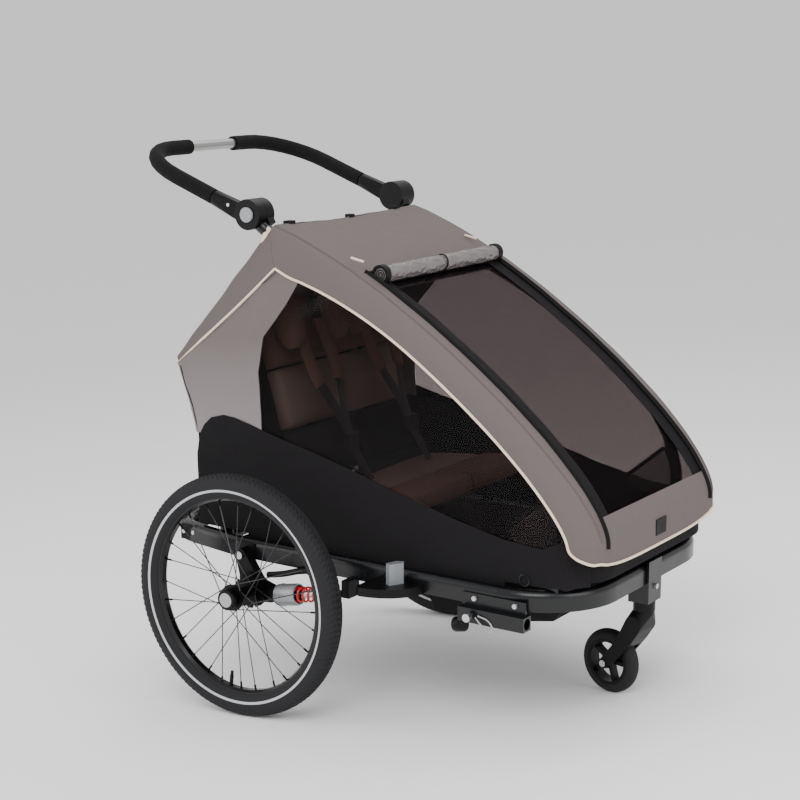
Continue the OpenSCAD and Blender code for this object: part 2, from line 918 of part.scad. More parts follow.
module hinge_button() {
  color("#8f9194") bar_y(bar_hinge[0], bar_hinge[1], 15, -hub_mid - 29, -hub_mid - 16);
}

module hinge_button_right() {
  hinge_button();
}

module hinge_button_left() {
  mirror([0, 1, 0]) hinge_button();
}

// ---------- seats ----------

module seat_cushion() {
  color("#4a3b37") difference() {
    translate([60, 0, 395]) rotate([0, -7, 0]) block([0, -265, 0], [270, 265, 42]);
    block([-100, -2, 300], [500, 2, 600]);
  }
}

module at_back() {
  translate([40, 0, 425]) rotate([0, -17, 0]) children();
}

module backrests() {
  color("#4a3b37") both_sides() at_back() block([-22, -218, 22], [14, -4, 440]);
}

module headrests() {
  color("#5b4a44") both_sides() at_back() for (y = [-192, -30])
    translate([34, y, 300]) cylinder(r = 19, h = 120, $fn = 32);
}

module harnesses() {
  color("#171717") both_sides() at_back() for (y = [-150, -72])
    block([14.4, y - 12, 60], [18, y + 12, 400]);
}

stance() side_rails();
stance() front_rail();
stance() rear_rail();
stance() cross_tubes();
stance() floor_panel();
stance() footwell_bag();
stance() side_skirt_left();
stance() side_skirt_right();
stance() rear_skirt();
stance() front_skirt();
stance() wheel_guards();
stance() reflectors();
stance() d_rings();
stance() tow_receiver();
stance() retaining_pin();
stance() caster_bracket();
stance() frame_bolts();
stance() suspension_brackets();
stance() brake_pedal();
stance() seat_cushion();
stance() backrests();
stance() headrests();
stance() harnesses();
stance() swing_arm_left();
stance() swing_arm_right();
stance() damper_rods();
stance() spring_left();
stance() spring_right();
stance() tyre_left();
stance() tyre_right();
stance() rim_left();
stance() rim_right();
stance() spokes_left();
stance() spokes_right();
stance() hub_left();
stance() hub_right();
stance() brake_disc_left();
stance() brake_disc_right();
stance() caster_fork();
stance() caster_axle();
stance() caster_tyre();
stance() caster_hub();
stance() canopy_frame();
stance() canopy();
stance() front_mesh();
stance() rear_panel();
stance() rain_cover_roll();
stance() side_window_left();
stance() side_window_right();
stance() quarter_panel_left();
stance() quarter_panel_right();
stance() hinge_bases();
stance() back_frame();
stance() push_bar();
stance() grips();
stance() bar_connectors();
stance() hinge_caps();
stance() hinge_button_left();
stance() hinge_button_right();
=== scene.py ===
import math

import bmesh
import bpy
import numpy as np
from mathutils import Matrix, Vector


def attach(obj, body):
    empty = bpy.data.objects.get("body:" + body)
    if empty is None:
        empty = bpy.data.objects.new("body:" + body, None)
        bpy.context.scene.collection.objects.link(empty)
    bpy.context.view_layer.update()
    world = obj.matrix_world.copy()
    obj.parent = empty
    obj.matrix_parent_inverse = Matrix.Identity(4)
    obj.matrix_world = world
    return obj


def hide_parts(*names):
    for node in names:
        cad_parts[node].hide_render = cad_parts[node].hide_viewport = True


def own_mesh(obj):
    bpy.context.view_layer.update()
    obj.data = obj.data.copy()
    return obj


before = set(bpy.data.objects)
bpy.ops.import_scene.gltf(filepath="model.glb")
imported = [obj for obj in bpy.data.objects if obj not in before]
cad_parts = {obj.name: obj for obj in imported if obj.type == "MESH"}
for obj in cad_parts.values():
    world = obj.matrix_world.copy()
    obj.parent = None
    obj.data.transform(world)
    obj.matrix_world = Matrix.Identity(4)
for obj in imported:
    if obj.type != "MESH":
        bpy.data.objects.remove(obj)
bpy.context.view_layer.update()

# The floor frame leans nose down by this angle when all three wheels stand.
PITCH = math.radians(4.8284)
CENTRE_X = 218.5
COS, SIN = math.cos(PITCH), math.sin(PITCH)


def row(points):
    p = np.atleast_2d(np.asarray(points, float))
    x, y, z = p[:, 0], p[:, 1], p[:, 2] - 250
    return np.c_[x * COS + z * SIN - CENTRE_X, y, 250 - x * SIN + z * COS] / 1000


def row_dir(x, y, z):
    return Vector((x * COS + z * SIN, y, -x * SIN + z * COS))


# ---------- materials ----------
def srgb(code):
    """A colour such as "8b8282" as linear RGBA."""
    parts = [int(code[i:i + 2], 16) / 255 for i in (0, 2, 4)]
    return (*[c / 12.92 if c <= 0.04045 else ((c + 0.055) / 1.055) ** 2.4 for c in parts], 1.0)


def add(mat, kind, inputs=None, **settings):
    """Adds a shader node; an input is a number, a colour or another node's socket."""
    made = mat.node_tree.nodes.new("ShaderNode" + kind)
    for key, value in settings.items():
        setattr(made, key, value)
    for socket, value in (inputs or {}).items():
        if isinstance(value, bpy.types.NodeSocket):
            mat.node_tree.links.new(value, made.inputs[socket])
        else:
            made.inputs[socket].default_value = value
    return made


def surface(name, colour, rough, metal=0.0, grain_mm=30.0, vary=0.12, bump=0.0, bump_mm=2.0,
            coat=0.0, clear=0.0, weave=False, shine=0.5, through=(0.93, 0.9, 0.9, 1)):
    """A finish with slow colour change, fine bump and, for films and mesh, see-through."""
    mat = bpy.data.materials.new(name)
    mat.use_nodes = True
    mat.node_tree.nodes.clear()
    place = add(mat, "TexCoord").outputs["Object"]
    slow = add(mat, "TexNoise", {"Vector": place, "Scale": 1000 / grain_mm, "Detail": 4.0})
    dark = srgb(colour)
    light = tuple(min(1, c * (1 + vary) + vary * 0.004) for c in dark[:3]) + (1,)
    dark = tuple(c * (1 - vary) for c in dark[:3]) + (1,)
    mix = add(mat, "MixRGB", {"Fac": slow.outputs["Fac"], "Color1": dark, "Color2": light})
    spread = add(mat, "MapRange", {"Value": slow.outputs["Fac"], "From Min": 0.3, "From Max": 0.7,
                                   "To Min": rough * 0.9, "To Max": min(1, rough * 1.1)})
    body = add(mat, "BsdfPrincipled", {"Base Color": mix.outputs["Color"], "Metallic": metal,
                                       "Roughness": spread.outputs["Result"], "Coat Weight": coat,
                                       "Specular IOR Level": shine})
    if bump:
        fine = add(mat, "TexNoise", {"Vector": place, "Scale": 1000 / bump_mm, "Detail": 3.0})
        height = fine.outputs["Fac"]
        if weave:
            threads = [add(mat, "TexWave", {"Vector": place, "Scale": 1000 / bump_mm / 6.283,
                                            "Distortion": 0.6}, bands_direction=d).outputs["Fac"]
                       for d in "XZ"]
            cross = add(mat, "Math", {0: threads[0], 1: threads[1]}, operation="MULTIPLY")
            height = add(mat, "Math", {0: cross.outputs[0], 1: height}, operation="ADD").outputs[0]
        lift = add(mat, "Bump", {"Height": height, "Strength": 1.0, "Distance": bump / 1000})
        mat.node_tree.links.new(lift.outputs["Normal"], body.inputs["Normal"])
    shader = body.outputs["BSDF"]
    if clear:
        glass = add(mat, "BsdfTransparent", {"Color": through})
        shader = add(mat, "MixShader", {"Fac": clear, 1: shader,
                                        2: glass.outputs["BSDF"]}).outputs["Shader"]
    add(mat, "OutputMaterial", {"Surface": shader})
    return mat


CANOPY = surface("Taupe coated polyester", "625a59", 0.8, vary=0.05, bump=0.12, bump_mm=1.1,
                 weave=True, shine=0.2)
BLACK_CLOTH = surface("Black coated polyester", "1a181a", 0.8, vary=0.12, bump=0.15, bump_mm=1.2,
                      weave=True, shine=0.1)
LINING = surface("Grey inner lining", "4d4545", 0.85, vary=0.08, bump=0.1, bump_mm=1.2)
PIPING = surface("Cream piping", "e8d5c0", 0.6, vary=0.03)
ZIP = surface("Black zip tape", "0b0a0b", 0.6, bump=0.3, bump_mm=2.0, shine=0.2)
MESH = surface("Dark fly mesh", "151213", 0.8, vary=0.05, clear=0.66, shine=0.05,
               through=(0.68, 0.64, 0.64, 1))
NET = surface("Light pocket net", "5a5452", 0.8, vary=0.3, grain_mm=3, clear=0.5, shine=0.1)
TINT = surface("Dark tinted film", "060405", 0.1, vary=0.05, clear=0.8, shine=0.3,
               through=(0.8, 0.76, 0.76, 1))
FILM = surface("Clear rolled film", "767070", 0.12, vary=0.35, grain_mm=40, bump=1.0, bump_mm=24,
               clear=0.25, shine=0.9)
FRAME = surface("Satin black powder coat", "08090c", 0.27, vary=0.06, bump=0.02, bump_mm=1.5, shine=0.4)
NYLON = surface("Black moulded nylon", "060607", 0.4, vary=0.1, bump=0.05, bump_mm=1.5, shine=0.18)
TYRE = surface("Black tyre rubber", "212123", 0.7, vary=0.15, bump=0.1, bump_mm=2.0, shine=0.2)
STRIPE = surface("Light reflective stripe", "b9babb", 0.4, vary=0.04)
RIM = surface("Black anodised rim", "0d0d0f", 0.25, metal=0.3, vary=0.05)
SPOKE = surface("Dark stainless spokes", "4a4a4c", 0.3, metal=1.0)
STEEL = surface("Zinc-plated steel", "c4c4c6", 0.28, metal=1.0, vary=0.08)
SILVER = surface("Satin anodised aluminium", "a3a3a2", 0.33, metal=1.0, vary=0.04)
SPRING = surface("Red powder-coated spring", "c9202b", 0.3, vary=0.05)
CUP = surface("Grey damper cup", "9a9c9f", 0.35, metal=0.6, vary=0.05)
FOAM = surface("Black grip foam", "101011", 0.85, vary=0.15, bump=0.3, bump_mm=2.0, shine=0.15)
CAP = surface("Satin cast aluminium", "a8a4a4", 0.45, metal=0.3, vary=0.05)
BUTTON = surface("Grey moulded button", "8f9194", 0.4, vary=0.04)
CLEAR = surface("Clear prismatic reflector", "8b9095", 0.12, vary=0.2, bump=0.6, bump_mm=4.0,
                coat=1.0, clear=0.25)


def painted_height_shading(name, top, bottom, z_top, z_bottom):
    """Coated cloth with painted shading: its colour goes from one colour at the top to another at the bottom
    of the panel.
    """
    mat = surface(name, top, 0.7, vary=0.05, bump=0.12, bump_mm=1.1, weave=True)
    body = next(n for n in mat.node_tree.nodes if n.type == "BSDF_PRINCIPLED")
    place = next(n for n in mat.node_tree.nodes if n.type == "TEX_COORD").outputs["Object"]
    height = add(mat, "SeparateXYZ", {"Vector": place})
    share = add(mat, "MapRange", {"Value": height.outputs["Z"], "From Min": z_bottom / 1000,
                                  "From Max": z_top / 1000})
    mix = add(mat, "MixRGB", {"Fac": share.outputs["Result"], "Color1": srgb(bottom),
                              "Color2": srgb(top)})
    mat.node_tree.links.new(mix.outputs["Color"], body.inputs["Base Color"])
    return mat


# The quarter cloth is painted lighter towards the bottom than at the top: painted light and shade, not the
# cloth's own colour.
QUARTER_PAINTED_SHADING = painted_height_shading("Grey coated polyester, painted shading by height", "625a59", "7f7778", 760, 590)
BROWN = surface("Brown seat cloth", "7c6058", 0.85, vary=0.1, bump=0.2, bump_mm=1.4, shine=0.1)
MINK = surface("Grey-brown seat cloth", "8b7a73", 0.85, vary=0.1, bump=0.2, bump_mm=1.4, shine=0.1)
BLACK_PAD = surface("Black seat cloth", "121011", 0.85, vary=0.1, bump=0.2, bump_mm=1.4, shine=0.1)
WEB = surface("Black webbing", "161516", 0.6, bump=0.3, bump_mm=1.8)


def paint(node, material):
    """Gives a CAD node its one finish."""
    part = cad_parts[node]
    part.data.materials.clear()
    part.data.materials.append(material)
    return part


# ---------- shape helpers ----------
def build(name, points, faces, material, body, smooth=True, bevel=0.0, keep=()):
    """A mesh object from level-frame points, riding on a CAD body."""
    mesh = bpy.data.meshes.new(name)
    mesh.from_pydata(row(points).tolist(), [], [list(f) for f in faces])
    work = bmesh.new()
    work.from_mesh(mesh)
    bmesh.ops.remove_doubles(work, verts=work.verts, dist=1e-6)
    bmesh.ops.recalc_face_normals(work, faces=work.faces)
    if bevel:
        sharp = [e for e in work.edges if len(e.link_faces) == 2 and e.calc_face_angle() > 0.6]
        bmesh.ops.bevel(work, geom=sharp, offset=bevel / 1000, segments=2, profile=0.6,
                        affect="EDGES", clamp_overlap=True)
    work.to_mesh(mesh)
    work.free()
    obj = bpy.data.objects.new(name, mesh)
    bpy.context.collection.objects.link(obj)
    mesh.materials.append(material)
    if smooth:
        mesh.shade_smooth()
        mesh.set_sharp_from_angle(angle=math.radians(38))
    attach(obj, body)
    if keep:
        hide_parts(*keep)
    return obj


def merged(*parts):
    """Joins (points, faces) pairs into one."""
    points, faces, shift = [], [], 0
    for p, f in parts:
        points.extend(np.asarray(p, float).tolist())
        faces.extend([[i + shift for i in face] for face in f])
        shift += len(p)
    return points, faces


def tube(path, radius, sides=12, closed=False, flat=1.0, ref=None):
    """A round or flattened tube along a path."""
    path = np.asarray(path, float)
    n = len(path)
    if closed:
        tan = np.roll(path, -1, 0) - np.roll(path, 1, 0)
    else:
        tan = np.gradient(path, axis=0)
    tan /= np.linalg.norm(tan, axis=1)[:, None]
    radius = np.broadcast_to(np.asarray(radius, float), (n,))
    side = np.cross(tan[0], ref if ref is not None else (0, 1, 0))
    if np.linalg.norm(side) < 0.1:
        side = np.cross(tan[0], (0, 0, 1))
    points = []
    for i in range(n):
        side = np.cross(tan[i], ref) if ref is not None else side - tan[i] * (side @ tan[i])
        side = side / np.linalg.norm(side)
        up = np.cross(side, tan[i])
        for k in range(sides):
            a = 2 * math.pi * k / sides
            points.append(path[i] + radius[i] * (math.cos(a) * side * flat + math.sin(a) * up))
    faces = []
    for i in range(n if closed else n - 1):
        j = (i + 1) % n
        for k in range(sides):
            m = (k + 1) % sides
            faces.append([i * sides + k, j * sides + k, j * sides + m, i * sides + m])
    if not closed:
        faces.append(list(range(sides)))
        faces.append([(n - 1) * sides + k for k in reversed(range(sides))])
    return points, faces


def curve(points, count=60):
    """A smooth line through points, evenly stepped."""
    p = np.asarray(points, float)
    pad = np.vstack([2 * p[0] - p[1], p, 2 * p[-1] - p[-2]])
    out = []
    for i in range(1, len(pad) - 2):
        a, b, c, d = pad[i - 1:i + 3]
        for t in np.linspace(0, 1, 16, endpoint=False):
            out.append(0.5 * (2 * b + (c - a) * t + (2 * a - 5 * b + 4 * c - d) * t ** 2
                              + (3 * b - a - 3 * c + d) * t ** 3))
    out.append(p[-1])
    out = np.array(out)
    s = np.r_[0, np.cumsum(np.linalg.norm(np.diff(out, axis=0), axis=1))]
    want = np.linspace(0, s[-1], count)
    return np.c_[[np.interp(want, s, out[:, k]) for k in range(3)]].T


def turned(profile, middle, axis=(0, 1, 0), steps=96):
    """Turns (radius, along) points round an axis through middle."""
    axis = np.asarray(axis, float) / np.linalg.norm(axis)
    u = np.cross(axis, (0, 0, 1) if abs(axis[2]) < 0.9 else (1, 0, 0))
    u /= np.linalg.norm(u)
    w = np.cross(axis, u)
    points, faces, m = [], [], len(profile)
    for i in range(steps):
        a = 2 * math.pi * i / steps
        out = math.cos(a) * u + math.sin(a) * w
        points.extend([np.asarray(middle) + r * out + h * axis for r, h in profile])
        j = (i + 1) % steps
        faces.extend([[i * m + k, i * m + k + 1, j * m + k + 1, j * m + k] for k in range(m - 1)])
        faces.append([i * m + m - 1, i * m, j * m, j * m + m - 1])
    return points, faces


def disc(radius, y0, y1, middle, axis=(0, 1, 0), steps=48):
    """A short closed cylinder between y0 and y1 along its axis."""
    return turned([(0.01, y0), (radius, y0), (radius, y1), (0.01, y1)], middle, axis, steps)


def brick(low, high):
    """A box between two opposite corners."""
    xs, ys, zs = zip(low, high)
    points = [(x, y, z) for x in xs for y in ys for z in zs]
    return points, [(0, 1, 3, 2), (4, 6, 7, 5), (0, 4, 5, 1), (2, 3, 7, 6), (0, 2, 6, 4), (1, 5, 7, 3)]


def open_edges(faces):
    """The edges that only one face has, each in that face's direction."""
    edge = {}
    for f in faces:
        for a, b in zip(f, [*f[1:], f[0]]):
            if (b, a) in edge:
                del edge[b, a]
            else:
                edge[a, b] = True
    return list(edge)


def shell(grid, thick, drop=None):
    """A closed sheet from a grid of points; drop marks the quads left out."""
    grid = np.asarray(grid, float)
    n, m = grid.shape[:2]
    du = np.gradient(grid, axis=0)
    dv = np.gradient(grid, axis=1)
    normal = np.cross(du, dv)
    normal /= np.linalg.norm(normal, axis=2)[:, :, None] + 1e-9
    points = np.vstack([grid.reshape(-1, 3), (grid - normal * thick).reshape(-1, 3)])
    keep = np.ones((n - 1, m - 1), bool) if drop is None else ~drop
    fronts = [[i * m + j, (i + 1) * m + j, (i + 1) * m + j + 1, i * m + j + 1]
              for i, j in zip(*np.nonzero(keep))]
    faces, size = [], n * m
    for q in fronts:
        faces += [q, [v + size for v in reversed(q)]]
    faces += [[b, a, a + size, b + size] for a, b in open_edges(fronts)]
    return points, faces


def flat_sheet(outline, step=12.0):
    """An outline in X and Z filled with small squares; returns (points, faces)."""
    work = bmesh.new()
    work.faces.new([work.verts.new((x, 0, z)) for x, z in outline])
    xs = [p[0] for p in outline]
    zs = [p[1] for p in outline]
    for axis, low, high in (((1, 0, 0), min(xs), max(xs)), ((0, 0, 1), min(zs), max(zs))):
        for cut in np.arange(low + step, high, step):
            at = tuple(cut * a for a in axis)
            bmesh.ops.bisect_plane(work, geom=work.verts[:] + work.edges[:] + work.faces[:],
                                   plane_co=at, plane_no=axis)
    bmesh.ops.triangulate(work, faces=[f for f in work.faces if len(f.verts) > 4])
    work.verts.index_update()
    out = [v.co[:] for v in work.verts], [[v.index for v in f.verts] for f in work.faces]
    work.free()
    return out


def thicken(points, faces, thick):
    """Gives an open sheet of (points, faces) a thickness towards +Y on the right side."""
    size = len(points)
    points = np.asarray(points, float)
    back = points + np.array([0, thick, 0])
    out = [list(f) for f in faces] + [[v + size for v in reversed(f)] for f in faces]
    out += [[b, a, a + size, b + size] for a, b in open_edges(faces)]
    return np.vstack([points, back]), out


def mirrored(points):
    return np.asarray(points, float) * [1, -1, 1]


def noise(x, y, scale, seed=0.0):
    """Smooth ripples made of a few waves."""
    k = 6.283 / scale
    return (np.sin(k * x + seed) * np.sin(k * 0.83 * y + 1.7 * seed)
            + 0.6 * np.sin(k * 1.9 * x + k * 0.7 * y + 2.1 * seed + 1)
            + 0.4 * np.sin(k * 2.7 * y - k * 1.3 * x + 0.6 * seed)) / 2


# ---------- canopy ----------
# One cloth hood over a tube hoop, from the roof's rear edge over the crest to the
# foot end, open at the front for the mesh. It is sewn to cream piping all round.
SIDE = 288
CREST = np.array([[0, 985], [295, 900], [748, 550], [742, 430.0]])
# The mesh opening starts and ends at these rows, at x = 199 and at z = 482.
OPEN_ROW, SHUT_ROW = 51, 170
OPEN_X, SHUT_Z = 199, 482
# The section leans forwards at the ridge and is square to the crest from here on.
RIDGE_INWARD = np.array([0.291, -0.957])
SQUARE_FROM = 0.12


def bezier(t):
    """Points on the crest line, and the directions square to it, into the hood."""
    t = np.asarray(t, float)[:, None]
    p = CREST
    at = (1 - t) ** 3 * p[0] + 3 * (1 - t) ** 2 * t * p[1] + 3 * (1 - t) * t * t * p[2] + t ** 3 * p[3]
    go = 3 * (1 - t) ** 2 * (p[1] - p[0]) + 6 * (1 - t) * t * (p[2] - p[1]) + 3 * t * t * (p[3] - p[2])
    go /= np.linalg.norm(go, axis=1)[:, None]
    return at, np.c_[go[:, 1], -go[:, 0]]


def hood_rows():
    """Points, inward normals, flat half-width and depth down to the piping."""
    t = np.linspace(0, 1, 2001)
    at, _ = bezier(t)
    open_t = t[np.argmin(abs(at[:, 0] - OPEN_X))]
    shut_t = t[np.argmin(abs(at[:, 1] - SHUT_Z) + 200 * (t < 0.5))]
    t = np.r_[np.linspace(0, open_t, OPEN_ROW + 1),
              np.linspace(open_t, shut_t, SHUT_ROW - OPEN_ROW + 1)[1:],
              np.linspace(shut_t, 1, 16)[1:]]
    at, inward = bezier(t)
    square = np.clip(t / SQUARE_FROM, 0, 1)[:, None]
    inward = (1 - square) * RIDGE_INWARD + square * inward
    inward /= np.linalg.norm(inward, axis=1)[:, None]
    flat = 250 - 18 * np.clip(t - 0.65, 0, 1) / 0.35
    drop = 48 + 38 * np.clip(1 - t / 0.35, 0, 1) ** 1.5
    low = np.array([[742, z] for z in np.linspace(430, 386, 14)[1:]])
    at = np.vstack([at, low])
    inward = np.vstack([inward, np.tile([-1.0, 0.0], (len(low), 1))])
    flat = np.r_[flat, np.full(len(low), 232)]
    drop = np.r_[drop, np.full(len(low), 48)]
    return at, inward, flat, drop


def hood_grid(at, inward, flat, drop, across):
    """Section points from the right piping over the roof to the left piping."""
    grid = np.zeros((len(at), len(across), 3))
    for j, (kind, u) in enumerate(across):
        if kind == "flat":
            y = np.clip(u, -flat, flat)
            depth = np.zeros(len(at))
        else:
            a = math.radians(90 * abs(u))
            y = np.sign(u) * (flat + (SIDE - flat) * math.sin(a))
            depth = drop * (1 - math.cos(a))
        grid[:, j, 0] = at[:, 0] + depth * inward[:, 0]
        grid[:, j, 1] = y
        grid[:, j, 2] = at[:, 1] + depth * inward[:, 1]
    return grid


ARC = [("arc", -u) for u in np.linspace(1, 0.04, 20)]
ACROSS = (ARC + [("flat", y) for y in np.r_[np.linspace(-249, -225, 5), np.linspace(-225, 225, 91)[1:],
                                            np.linspace(225, 249, 5)[1:]]]
          + [("arc", -u) for _, u in reversed(ARC)])
# The columns where the opening starts and ends, at y = -225 and y = 225.
FIRST = len(ARC) + 4
LAST = FIRST + 90

ROWS, INWARD, FLAT, DROP = hood_rows()
hood = hood_grid(ROWS, INWARD, FLAT, DROP, ACROSS)
TRIM = np.array([[600, 520], [643, 483], [663, 461], [682, 441], [709, 417], [732, 404], [760, 397]])


def trim_z(x, y):
    """The lower edge: up round the corners, nearly level across the front."""
    return np.where(abs(y) > 228, np.interp(x, TRIM[:, 0], TRIM[:, 1]),
                    385 + 13 * (abs(y) / 232) ** 4)


def cloth_ripple(x, y, z, depth=1.0):
    """Slack in the cloth: long soft waves and a few creases, in millimetres."""
    along = np.hypot(x, z - 985)
    slack = 2.0 * noise(along, y * 1.3, 210, 0.4) + 0.8 * noise(along, y, 75, 2.1)
    crease = -2.2 * np.exp(-((along - 0.55 * (y + 250) - 60) / 11) ** 2) * (y < -120)
    crease += -1.8 * np.exp(-((along + 0.5 * (y - 250) - 40) / 12) ** 2) * (y > 120)
    return depth * (slack + crease)


def press_in(grid, inward, amount):
    """Moves each row of a grid inwards by some millimetres."""
    grid = grid.copy()
    grid[:, :, 0] += amount * inward[:, 0][:, None]
    grid[:, :, 2] += amount * inward[:, 1][:, None]
    return grid


# The roof sags between its two side tubes, and its rear edge bows back.
X, Y, Z = hood[:, :, 0], hood[:, :, 1], hood[:, :, 2]
mid = np.clip(1 - (Y / 245) ** 2, 0, 1)
rear = np.clip(1 - np.arange(len(ROWS)) / 30.0, 0, 1)[:, None]
dip = 5.0 * mid * (np.arange(len(ROWS)) < OPEN_ROW + 1)[:, None] * (1 - rear)
looseness = np.clip(1.1 - abs(Y) / 290, 0.15, 1)
hood = press_in(hood, INWARD, dip + np.clip(cloth_ripple(X, Y, Z) * looseness, -1.5, 4))
BOW, DIP = 12, 8
hood[:, :, 0] -= BOW * mid * rear
hood[:, :, 2] -= DIP * mid * rear
mid_x = (hood[1:, 1:, 0] + hood[:-1, :-1, 0]) / 2
mid_y = (hood[1:, 1:, 1] + hood[:-1, :-1, 1]) / 2
mid_z = (hood[1:, 1:, 2] + hood[:-1, :-1, 2]) / 2
gone = mid_z < trim_z(mid_x, mid_y)
gone[OPEN_ROW:SHUT_ROW, FIRST:LAST] = True
canopy = build("canopy_cloth", *shell(hood, 2.2, gone), CANOPY, "canopy_hoop", keep=["canopy"])


# ---------- piping, seams and zips ----------
# Cream piping is sewn along the lower edge, and black zips run down both sides of
# the opening. A double stitched seam follows each side tube.
def hood_edge(side):
    """The hood's lower edge on one side, from the ridge round the front corner."""
    j = 0 if side < 0 else -1
    line = [p for p in hood[:, j] if p[2] > 440 or p[0] < 560][::6]
    corner = []
    for x in (697, 709, 720, 732, 738, 741):
        c = 1 - (742.5 - x) / 48
        corner.append((x, side * (232 + 56 * math.sqrt(1 - c * c)),
                       np.interp(x, TRIM[:, 0], TRIM[:, 1])))
    return np.array(line + corner)


near, far = hood_edge(-1), hood_edge(1)
front = [(743, y, float(trim_z(743, y))) for y in np.linspace(-222, 222, 13)]
edge_line = curve(np.vstack([near, front, far[::-1]]), 420)
rear_line = [np.array([(-60, s * 288.5, 829), (-150, s * 288, 756),
                       (-236, s * 286, 690)]) for s in (-1, 1)]
PIPE = 2.7
piping = build("canopy_piping", *tube(edge_line, PIPE, 10), PIPING, "canopy_hoop")
# Piping also runs from each rear corner of the roof down the rear line.
pipes = [tube(curve(np.vstack([hood[0, j][None], r]), 60), PIPE, 10)
         for j, r in zip((0, -1), rear_line)]
rear_piping = build("rear_piping", *merged(*pipes), PIPING, "canopy_hoop")
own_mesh(rear_piping)

tape = []
for j in (FIRST, LAST):
    line = hood[OPEN_ROW:, j]
    line = line[line[:, 2] > 424]
    line = press_in(line[:, None], np.tile(INWARD[80], (len(line), 1)), -0.6)[:, 0]
    smooth = curve(line[::5], 220)
    tape.append(tube(smooth, 2.0, 8, flat=3.4, ref=(0, 1, 0)))
    tape.append(tube(smooth, 3.2, 8))
top = hood[OPEN_ROW, FIRST:LAST + 1]
tape.append(tube(curve(top[::4], 90), 2.2, 8))
zips = build("front_zips", *merged(*tape), ZIP, "canopy_hoop")

stitch = []
for j in (FIRST - 7, FIRST - 6, LAST + 6, LAST + 7):
    line = press_in(hood[1:, j][:, None], INWARD[1:], -0.5)[:, 0]
    line = line[line[:, 2] > 432]
    line = curve(line[::4], 480)
    for i in range(0, len(line) - 1, 2):
        stitch.append(tube(line[i:i + 2], 0.45, 5))
seams = build("canopy_stitching", *merged(*stitch), LINING, "canopy_hoop")

# Two pulls hang at the foot end, and two lie back over the roof beside the roll.
pulls = []
for x, y, z, lies in ((730, -219, 428, 0), (730, 219, 428, 0), (196, -233, 922, 1), (172, 228, 922, 1)):
    hangs = 1 - lies
    pulls.append(tube([(x + 4, y, z + 2), (x + 6, y - 3, z - 9 * hangs + 2),
                       (x + 5 - 26 * lies, y - 5, z - 30 * hangs + 8 * lies)], 2.4, 8))
pull = build("zip_pulls", *merged(*pulls), PIPING, "canopy_hoop")

# The hook-and-loop tag that holds the rolled-down cover, at the middle of the foot end.
tag = build("closing_tag", *brick((742.5, -22, 404), (744.5, 22, 436)), ZIP, "canopy_hoop",
            smooth=False, bevel=0.5)


# ---------- front mesh ----------
# A dark fly mesh with a black bound edge fills the opening; it zips in.
inner = press_in(hood, INWARD, 6)
keep_out = np.ones((len(ROWS) - 1, len(ACROSS) - 1), bool)
keep_out[OPEN_ROW:SHUT_ROW, FIRST:LAST] = False
mesh_sheet = build("fly_mesh", *shell(inner, 0.8, keep_out), MESH, "canopy_hoop", keep=["front_mesh"])
binding = []
for j0, j1 in ((FIRST, FIRST + 8), (LAST - 8, LAST)):
    strip = np.ones_like(keep_out)
    strip[OPEN_ROW:SHUT_ROW, j0:j1] = False
    binding.append(shell(press_in(hood, INWARD, 3), 1.0, strip))
strip = np.ones_like(keep_out)
strip[OPEN_ROW:OPEN_ROW + 6, FIRST:LAST] = False
binding.append(shell(press_in(hood, INWARD, 3.5), 1.0, strip))
bound = build("mesh_binding", *merged(*binding), BLACK_CLOTH, "canopy_hoop")


# ---------- rear panel ----------
# Grey cloth from the roof's rear edge down to the bulging luggage corner.
across = np.linspace(-1, 1, 90)
grid = np.zeros((40, 90, 3))
for i, k in enumerate(np.linspace(0, 1, 40)):
    base = np.array([0.0, 985.0]) + k * np.array([-240.0, -285.0])
    lean = min(1, k / 0.16)
    down = (1 - lean) * RIDGE_INWARD + lean * np.array([0.765, -0.644])
    down /= np.linalg.norm(down)
    drop = 86 - 74 * k
    flat = 250 + 26 * k
    for j, u in enumerate(across):
        y = u * 288
        c = max(0.0, (abs(y) - flat) / (288 - flat))
        d = drop * (1 - math.sqrt(max(0, 1 - c * c)))
        sag = max(0.0, 1 - (y / 245) ** 2)
        grid[i, j] = (base[0] + d * down[0] - sag * BOW * (1 - k) - sag * 6 * k,
                      y, base[1] + d * down[1] - sag * DIP * (1 - k))
gx, gy = grid[:, :, 0], grid[:, :, 1]
ripple = 2.2 * noise(np.hypot(gx, grid[:, :, 2] - 985), gy, 170, 3.3)
grid[:, :, 0] += 0.765 * ripple
grid[:, :, 2] -= 0.644 * ripple
rear_cloth = build("rear_cloth", *shell(grid, 2.0), CANOPY, "canopy_hoop", keep=["rear_panel"])
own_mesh(rear_cloth)


# ---------- side windows and quarter panels ----------
# Each side has a dark tinted film window under the crest and a grey cloth quarter
# behind it, sewn to the piping above and the black skirt below.
def side_y(x):
    """How far out the side cloth stands: straight, then round the front corner."""
    x = np.asarray(x, float)
    return np.where(x < 627, 288.0, 173 + np.sqrt(np.clip(115 ** 2 - (x - 627) ** 2, 0, None)))


BAND = hood[:, 0][:, [0, 2]]
WINDOW = ([(-14, 545), (-22, 690), (-8, 762), (50, 831), (84, 884)]
          + [tuple(p) for p in BAND[22:178:6] if p[0] > 100 and p[1] > 430]
          + [(690, 400), (560, 430), (188, 515), (60, 548)])
QUARTER = [(-15, 546), (-23, 690), (-9, 762), (49, 831), (84, 886), (28, 904), (-60, 829), (-150, 756),
           (-238, 690), (-226, 660), (-204, 598), (-188, 545)]


